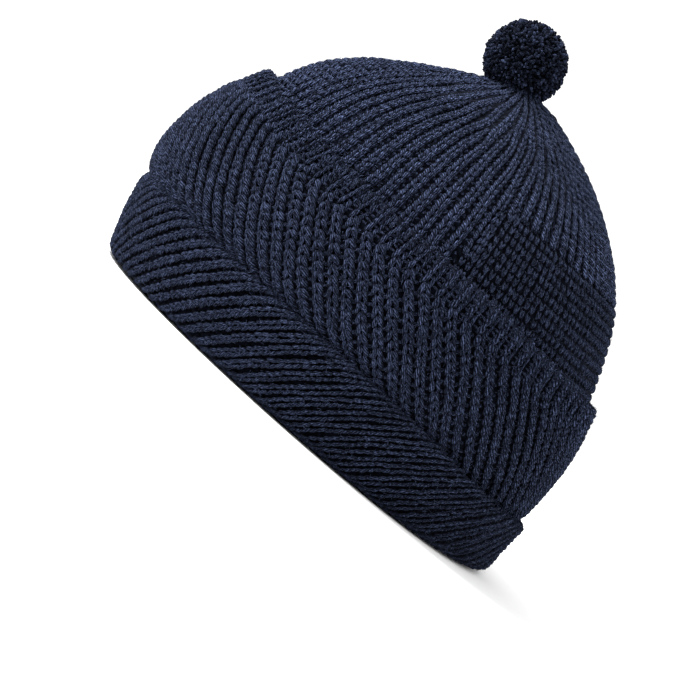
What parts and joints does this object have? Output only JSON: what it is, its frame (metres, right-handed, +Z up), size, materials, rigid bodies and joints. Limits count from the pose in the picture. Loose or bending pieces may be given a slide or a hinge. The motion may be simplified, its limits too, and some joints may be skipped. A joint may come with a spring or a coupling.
{
  "type": "knitted cap",
  "caption": "Thick rib-knit winter cap with a turned-up band, a turned-up cuff over it and a pompom, standing on its rim.",
  "frame": {"origin": "under the middle of the whole cap, on the surface that its rim stands on", "axes": "+Z up to the pompom, +Y towards the nape, +X towards the wearer's left ear"},
  "size_m": [0.2078, 0.2436, 0.2091],
  "materials": {
    "crown_knit": "navy wool rib knit, heathered, matt",
    "band_knit": "navy wool rib knit, heathered, matt",
    "cuff_knit": "navy wool rib knit, heathered, matt",
    "pompom_yarn": "navy cut yarn ends, dense, matt"
  },
  "bodies": {
    "root": {"crown": "crown_knit", "band": "band_knit", "cuff": "cuff_knit", "pompom": "pompom_yarn"}
  },
  "joints": []
}
